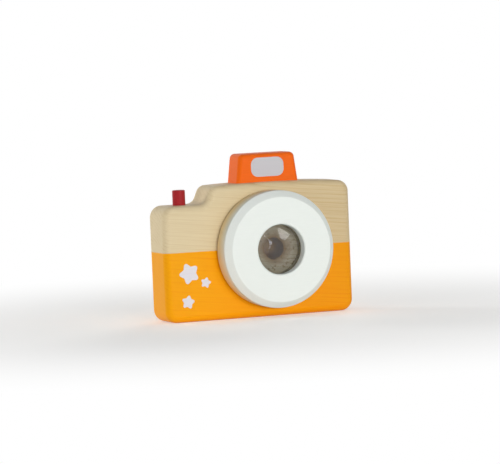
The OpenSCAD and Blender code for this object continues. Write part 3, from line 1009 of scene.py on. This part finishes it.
class TOYCAM_OT_stage(bpy.types.Operator):
    """Set the floor, the lamps, the surroundings and the camera"""

    bl_idname = "toycam.stage"
    bl_label = "Stage"

    VIEW_AZIMUTH = math.radians(-21.7)
    VIEW_ELEVATION = math.radians(3.75)
    VIEW_ROLL = math.radians(2.4)
    FOCAL_PX = 3343
    PX_PER_MM = 1.6
    # where the lens axis meets the body's front face in the photograph
    AXIS_PX = (270.65, 248.0)

    LAMP_TARGET = Vector((0, 0, 45 * MM))
    # azimuth and elevation in degrees, distance, width and height in metres, power in watts,
    # and whether the lamp shows in glossy surfaces and through clear ones
    LAMPS = {
        "key": (-4, 4, 2.8, 0.9, 0.4, 37, False, True),
        "fill": (-70, 6, 2.6, 0.8, 0.5, 9, False, True),
        "glint": (35, 19, 2.6, 0.38, 0.36, 2.3, True, False),
        "spark": (9, 3.5, 2.6, 0.8, 0.8, 12, True, False),
        "overhead": (0, 75, 2.5, 1.5, 1.5, 4, False, False),
        "rear_left": (-139, 5, 2.6, 0.8, 0.6, 46, False, False),
        "rear_right": (140, 20, 2.6, 1.2, 0.8, 20, False, False),
    }

    def execute(self, context):
        """Lay the floor, hang the lamps and aim the camera."""
        self.lay_floor()
        self.set_world(context.scene)
        self.hang_lamps(context.scene)
        self.aim_camera(context.scene)
        context.scene.view_settings.view_transform = "Standard"
        return {"FINISHED"}

    @staticmethod
    def seen_directly(tree):
        """1 for what the camera, a reflection or a clear piece sees, and 0 for what only lights the object.

        It is less for what lights the wood behind a clear piece, or the wood would be too bright.
        """
        through_clear = 0.4
        camera, glossy, clear, bounces = (
            add_node(tree, "LightPath", output=name)
            for name in ("Is Camera Ray", "Is Glossy Ray", "Is Transmission Ray", "Diffuse Depth")
        )
        seen = add_node(tree, "Math", {0: camera, 1: glossy}, operation="MAXIMUM")
        seen = add_node(tree, "Math", {0: seen, 1: clear}, operation="MAXIMUM")
        undimmed = add_node(tree, "MapRange", {"Value": bounces, "To Min": 1.0, "To Max": through_clear})
        return add_node(tree, "Math", {0: seen, 1: undimmed}, operation="MULTIPLY")

    def lay_floor(self):
        """A round pale floor that keeps the object's shadow and fades to white away from it."""
        floor_radius = 6
        rim = 5
        fade_from = 0.1
        white_at = 0.4
        paper_glow = 0.35
        floor = start_piece(
            "floor", bpy.ops.mesh.primitive_circle_add, vertices=96, radius=floor_radius, fill_type="NGON",
        )
        edit(floor)
        bpy.ops.mesh.inset(thickness=rim, depth=0)
        close_edit()
        material, tree, place = new_material("white studio paper")
        seen = self.seen_directly(tree)
        away = add_node(tree, "VectorMath", {0: place}, "Value", operation="LENGTH")
        fade = add_node(tree, "MapRange", {
            "Value": away, "From Min": fade_from, "From Max": white_at,
        }, interpolation_type="SMOOTHSTEP")
        fade = add_node(tree, "Math", {0: fade, 1: seen}, operation="MULTIPLY")
        paper = add_node(tree, "BsdfPrincipled", {
            "Base Color": linear("#F4F4F2"), "Roughness": 0.9, "Specular IOR Level": 0.1,
        })
        lift = add_node(tree, "Math", {0: seen, 1: paper_glow}, operation="MULTIPLY")
        pale = add_node(tree, "Emission", {"Color": WHITE, "Strength": lift})
        lit = add_node(tree, "AddShader", {0: paper, 1: pale})
        white = add_node(tree, "Emission", {"Color": WHITE, "Strength": 1.0})
        mixed = add_node(tree, "MixShader", {0: fade, 1: lit, 2: white})
        add_node(tree, "OutputMaterial", {"Surface": mixed})
        floor.data.materials.append(material)

    def set_world(self, scene):
        """White where it is seen, and a plain soft fill where it only lights."""
        soft_fill = 0.15
        world = bpy.data.worlds.new("studio")
        world.use_nodes = True
        tree = world.node_tree
        tree.nodes.clear()
        strength = add_node(tree, "MapRange", {
            "Value": self.seen_directly(tree), "To Min": soft_fill, "To Max": 1.0,
        })
        back = add_node(tree, "Background", {"Color": WHITE, "Strength": strength})
        add_node(tree, "OutputWorld", {"Surface": back})
        scene.world = world

    def hang_lamps(self, scene):
        """Soft lamps in front, at the left and overhead, two that show in the lens and two behind."""
        for name, settings in self.LAMPS.items():
            azimuth, elevation, distance, width, height, power, glossy, through = settings
            away = direction(math.radians(azimuth), math.radians(elevation))
            data = bpy.data.lights.new(name, "AREA")
            data.shape = "RECTANGLE"
            data.size = width
            data.size_y = height
            data.energy = power
            lamp = bpy.data.objects.new(name, data)
            lamp.visible_glossy = glossy
            lamp.visible_transmission = through
            lamp.location = self.LAMP_TARGET + away * distance
            lamp.rotation_euler = (-away).to_track_quat("-Z", "Y").to_euler()
            scene.collection.objects.link(lamp)

    def aim_camera(self, scene):
        """Stand the camera where the photograph was taken from."""
        data = bpy.data.cameras.new("camera")
        data.sensor_width = SENSOR_MM
        data.lens = SENSOR_MM * self.FOCAL_PX / PHOTO_WIDTH_PX
        data.clip_start = 10 * MM
        camera = bpy.data.objects.new("camera", data)
        scene.collection.objects.link(camera)
        back = direction(self.VIEW_AZIMUTH, self.VIEW_ELEVATION)
        turn = (-back).to_track_quat("-Z", "Y").to_matrix() @ Matrix.Rotation(-self.VIEW_ROLL, 3, "Z")
        right, up = turn.col[0], turn.col[1]
        off_right = (PHOTO_WIDTH_PX / 2 - self.AXIS_PX[0]) / self.PX_PER_MM * MM
        off_up = (self.AXIS_PX[1] - PHOTO_HEIGHT_PX / 2) / self.PX_PER_MM * MM
        aim = LENS_AXIS + right * off_right + up * off_up
        distance = self.FOCAL_PX / self.PX_PER_MM * MM
        camera.matrix_world = Matrix.Translation(aim + back * distance) @ turn.to_4x4()
        scene.camera = camera


OPERATORS = (
    TOYCAM_OT_body, TOYCAM_OT_flash, TOYCAM_OT_stars, TOYCAM_OT_ring, TOYCAM_OT_lens,
    TOYCAM_OT_turning_seat, TOYCAM_OT_button, TOYCAM_OT_stage,
)


class TOYCAM_PT_panel(bpy.types.Panel):
    """Lists the pieces of the toy camera"""

    bl_idname = "TOYCAM_PT_panel"
    bl_label = "Toy Camera"
    bl_space_type = "VIEW_3D"
    bl_region_type = "UI"
    bl_category = "Toy Camera"

    def draw(self, context):
        """One button for each piece, then the sizes and colours."""
        for operator in OPERATORS:
            self.layout.operator(operator.bl_idname)
        settings = context.scene.toy_camera
        for group in (settings.sizes, settings.colours):
            box = self.layout.box()
            for name in group.__annotations__:
                box.prop(group, name)


CLASSES = (ToyCameraSizes, ToyCameraColours, ToyCameraSettings, *OPERATORS, TOYCAM_PT_panel)


def register():
    """Make the settings, the operators and the panel known."""
    for made in CLASSES:
        bpy.utils.register_class(made)
    bpy.types.Scene.toy_camera = bpy.props.PointerProperty(type=ToyCameraSettings)


def unregister():
    """Take them away again."""
    del bpy.types.Scene.toy_camera
    for made in reversed(CLASSES):
        bpy.utils.unregister_class(made)


def main():
    """Make every piece and the stage."""
    register()
    for operator in OPERATORS:
        group, name = operator.bl_idname.split(".")
        getattr(getattr(bpy.ops, group), name)()


if __name__ == "__main__":
    main()
